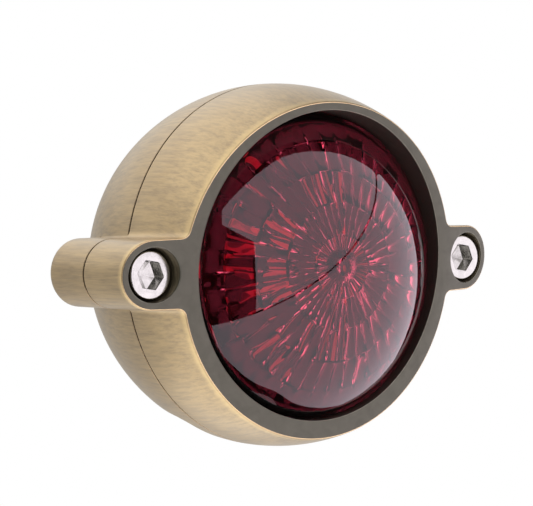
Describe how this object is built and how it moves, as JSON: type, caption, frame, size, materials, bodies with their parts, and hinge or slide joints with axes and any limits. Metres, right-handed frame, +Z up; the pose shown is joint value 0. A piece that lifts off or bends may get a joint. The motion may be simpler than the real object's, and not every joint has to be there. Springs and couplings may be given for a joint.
{
  "type": "motorcycle tail light",
  "caption": "Round motorcycle tail light in a brushed two-part metal shell with clamping ears, a domed red lens and a number plate window.",
  "frame": {"origin": "centre of the flat rear mounting pad", "axes": "+Y out of the back of the light along its axis, +Z up, +X to the right as seen from the front; the lens faces -Y"},
  "size_m": [0.086, 0.0563, 0.0674],
  "materials": {
    "shell_brass": "brushed, antiqued",
    "bolt_steel": "bright zinc",
    "washer_nylon": "black",
    "lens_red": "clear red, fluted inside",
    "seal_rubber": "matt",
    "reflector_dark": "moulded, dark",
    "carrier_plastic": "moulded",
    "screw_steel": "zinc plated",
    "board_green": "solder mask",
    "lamp_body": "lamp package",
    "part_black": "moulded electronic part",
    "capacitor_can": "satin",
    "header_nylon": "natural nylon",
    "window_clear": "clear"
  },
  "bodies": {
    "light": {"front_housing": "shell_brass", "rear_housing": "shell_brass", "housing_seal": "seal_rubber", "lens": "lens_red", "lens_seal": "seal_rubber", "reflector": "reflector_dark", "board_carrier": "carrier_plastic", "carrier_screws": "screw_steel", "led_board": "board_green", "board_screws": "screw_steel", "brake_leds": "lamp_body", "tail_leds": "lamp_body", "resistors": "part_black", "diodes": "part_black", "capacitor": "capacitor_can", "driver_chip": "part_black", "lead_header": "header_nylon", "board_socket": "part_black", "plate_board": "board_green", "plate_board_screws": "screw_steel", "plate_leds": "lamp_body", "plate_window": "window_clear", "window_seal": "seal_rubber", "cable_grommet": "seal_rubber"},
    "left_washer": {"washer_left": "washer_nylon"},
    "left_bolt": {"bolt_left": "bolt_steel"},
    "right_washer": {"washer_right": "washer_nylon"},
    "right_bolt": {"bolt_right": "bolt_steel"}
  },
  "joints": [
    {"name": "left_bolt_draw", "type": "slide", "parent": "light", "child": "left_washer", "axis": [0, -1, 0], "range_m": [0, 0.009]},
    {"name": "left_bolt_turn", "type": "hinge", "parent": "left_washer", "child": "left_bolt", "pos_m": [-0.03675, -0.04, 0], "axis": [0, -1, 0], "range_deg": [0, 4050]},
    {"name": "right_bolt_draw", "type": "slide", "parent": "light", "child": "right_washer", "axis": [0, -1, 0], "range_m": [0, 0.009]},
    {"name": "right_bolt_turn", "type": "hinge", "parent": "right_washer", "child": "right_bolt", "pos_m": [0.03675, -0.04, 0], "axis": [0, -1, 0], "range_deg": [0, 4050]}
  ],
  "couplings": [
    {"joint": "left_bolt_turn", "follows": "left_bolt_draw", "rad_per_m": 7854},
    {"joint": "right_bolt_turn", "follows": "right_bolt_draw", "rad_per_m": 7854}
  ]
}
